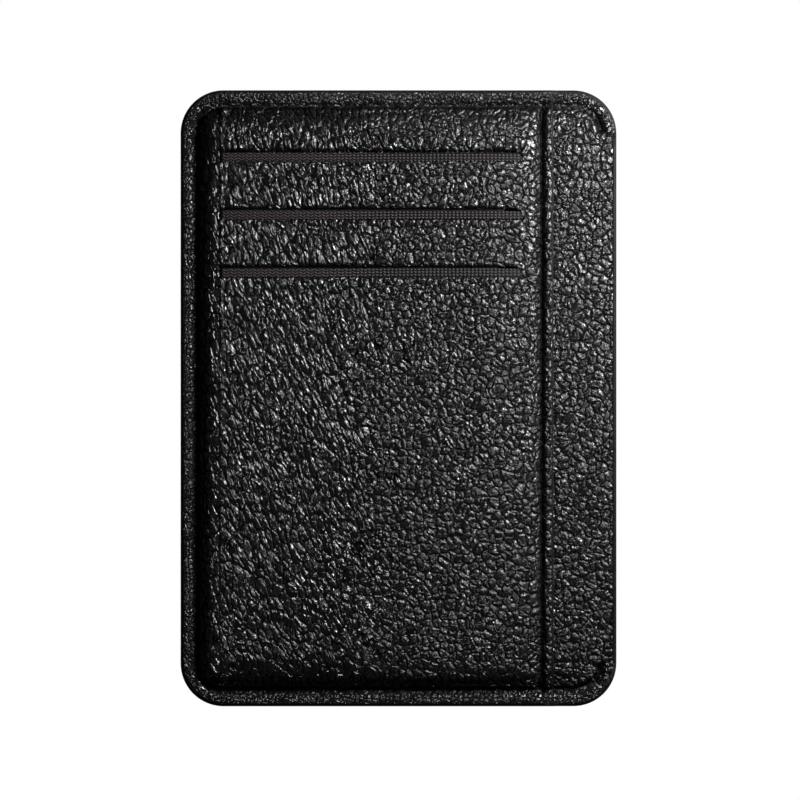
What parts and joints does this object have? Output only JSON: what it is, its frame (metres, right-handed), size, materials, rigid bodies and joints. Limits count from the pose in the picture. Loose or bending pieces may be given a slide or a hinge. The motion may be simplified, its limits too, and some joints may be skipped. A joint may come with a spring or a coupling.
{
  "type": "card holder",
  "caption": "Slim upright black pebbled leather card holder with ribbon-edged card slots on the front and a centre pocket open at one long side.",
  "frame": {"origin": "middle of the back face's rectangle, on the surface the holder lies on", "axes": "+X to the open long edge, +Y to the top edge, +Z out of the slotted front"},
  "size_m": [0.081, 0.1146, 0.0051],
  "materials": {
    "black_leather": "pebbled semi-gloss",
    "edge_paint": "smooth satin",
    "slot_ribbon": "ribbed",
    "lining_fabric": "fine plain weave",
    "fibre_board": "matt",
    "black_thread": "waxed thread"
  },
  "bodies": {
    "root": {"back_panel": "black_leather", "back_stiffener": "fibre_board", "back_lining": "lining_fabric", "inner_lining": "lining_fabric", "front_stiffener": "fibre_board", "base_panel": "black_leather", "slot_pocket_upper": "lining_fabric", "slot_pocket_middle": "lining_fabric", "slot_pocket_lower": "lining_fabric", "slot_ribbon_upper": "slot_ribbon", "slot_ribbon_middle": "slot_ribbon", "slot_ribbon_lower": "slot_ribbon", "slot_panel": "black_leather", "sewn_edge_paint": "edge_paint", "mouth_edge_paint_back": "edge_paint", "mouth_edge_paint_front": "edge_paint", "slot_panel_edge_paint": "edge_paint", "perimeter_front_thread": "black_thread", "perimeter_back_thread": "black_thread", "panel_seam_front_thread": "black_thread", "panel_seam_back_thread": "black_thread"}
  },
  "joints": []
}
